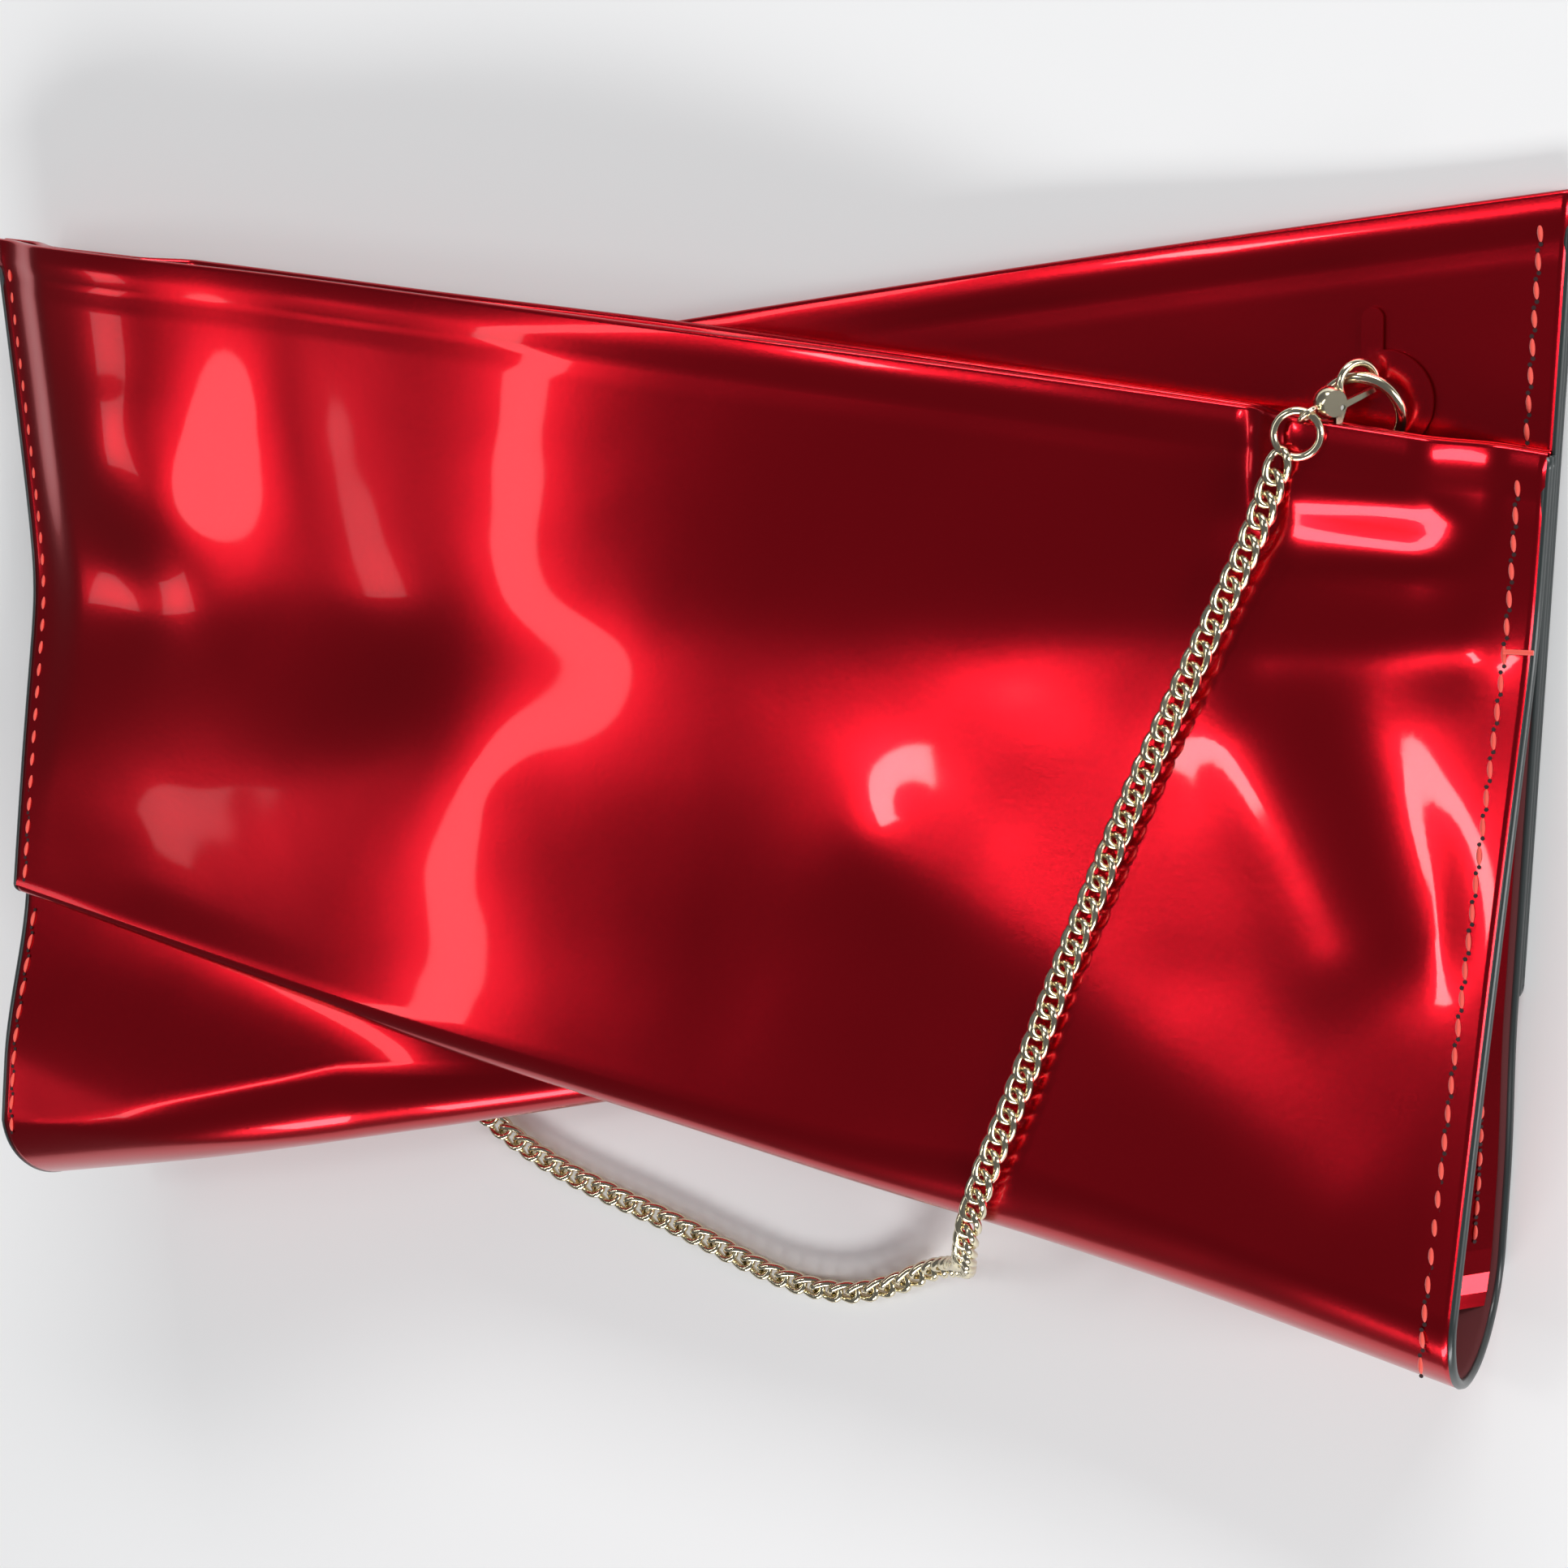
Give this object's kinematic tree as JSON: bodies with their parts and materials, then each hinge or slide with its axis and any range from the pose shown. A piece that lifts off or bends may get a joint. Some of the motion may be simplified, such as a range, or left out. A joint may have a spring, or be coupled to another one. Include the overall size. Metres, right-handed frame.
{
  "type": "clutch purse",
  "caption": "Flat clutch purse of folded patent leather pouches that cross in an X, with a clip-on chain wrist strap held by rings with sprung clasps, lying on its back.",
  "frame": {"origin": "middle of the flat resting face under the purse lying on its back", "axes": "+X along the purse towards the end where the front pouch opens, +Y towards the mouths, +Z out of the front panel"},
  "size_m": [0.3, 0.1995, 0.043],
  "materials": {
    "patent_leather": "gloss patent, softly rippled, sealed dark edges",
    "lining_fabric": "matte woven lining",
    "stiffener_board": "matte fibre board",
    "thread": "coral red sewing thread",
    "pale_gold_metal": "polished pale gold plating",
    "spring_steel": "plain steel"
  },
  "bodies": {
    "bag": {"front_pouch_shell": "patent_leather", "front_pouch_lining": "lining_fabric", "front_pouch_outer_board": "stiffener_board", "front_pouch_inner_board": "stiffener_board", "rear_pouch_shell": "patent_leather", "rear_pouch_lining": "lining_fabric", "rear_pouch_outer_board": "stiffener_board", "rear_pouch_inner_board": "stiffener_board", "right_side_gusset": "patent_leather", "right_seam_thread": "thread", "right_bar_tack": "thread", "right_ring_chape": "patent_leather", "right_ring_loop": "patent_leather", "right_clasp_body": "pale_gold_metal", "right_clasp_pin": "spring_steel", "right_clasp_spring": "spring_steel", "left_side_gusset": "patent_leather", "left_seam_thread": "thread", "left_bar_tack": "thread", "left_ring_chape": "patent_leather", "left_ring_loop": "patent_leather", "left_clasp_body": "pale_gold_metal", "left_clasp_pin": "spring_steel", "left_clasp_spring": "spring_steel", "chain_strap": "pale_gold_metal"},
    "right_ring": {"right_o_ring": "pale_gold_metal"},
    "right_lever": {"right_clasp_lever": "pale_gold_metal"},
    "right_jump": {"right_jump_ring": "pale_gold_metal"},
    "left_ring": {"left_o_ring": "pale_gold_metal"},
    "left_lever": {"left_clasp_lever": "pale_gold_metal"},
    "left_jump": {"left_jump_ring": "pale_gold_metal"}
  },
  "joints": [
    {"name": "right_ring_tilt", "type": "hinge", "parent": "bag", "child": "right_ring", "pos_m": [0.1198, 0.0547, 0.00657], "axis": [1, 0, 0], "range_deg": [-2.5, 4]},
    {"name": "right_clasp_lever_press", "type": "hinge", "parent": "bag", "child": "right_lever", "pos_m": [0.11729, 0.06222, 0.01328], "axis": [0.7533, -0.0731, 0.6536], "range_deg": [0, 10], "stiffness_Nm_per_rad": 0.004, "springref_deg": -5.73},
    {"name": "right_jump_ring_turn", "type": "hinge", "parent": "bag", "child": "right_jump", "pos_m": [0.11205, 0.05833, 0.01742], "axis": [-0.1345, 0.0091, -0.9909], "continuous": true},
    {"name": "left_ring_tilt", "type": "hinge", "parent": "bag", "child": "left_ring", "pos_m": [-0.1198, 0.0547, 0.01331], "axis": [-1, 0, 0], "range_deg": [-2.5, 3]},
    {"name": "left_clasp_lever_press", "type": "hinge", "parent": "bag", "child": "left_lever", "pos_m": [-0.11729, 0.06222, 0.00659], "axis": [-0.7533, -0.0731, -0.6536], "range_deg": [0, 10], "stiffness_Nm_per_rad": 0.004, "springref_deg": -5.73},
    {"name": "left_jump_ring_turn", "type": "hinge", "parent": "bag", "child": "left_jump", "pos_m": [-0.11205, 0.05833, 0.00246], "axis": [0.1345, 0.0091, 0.9909], "continuous": true}
  ]
}
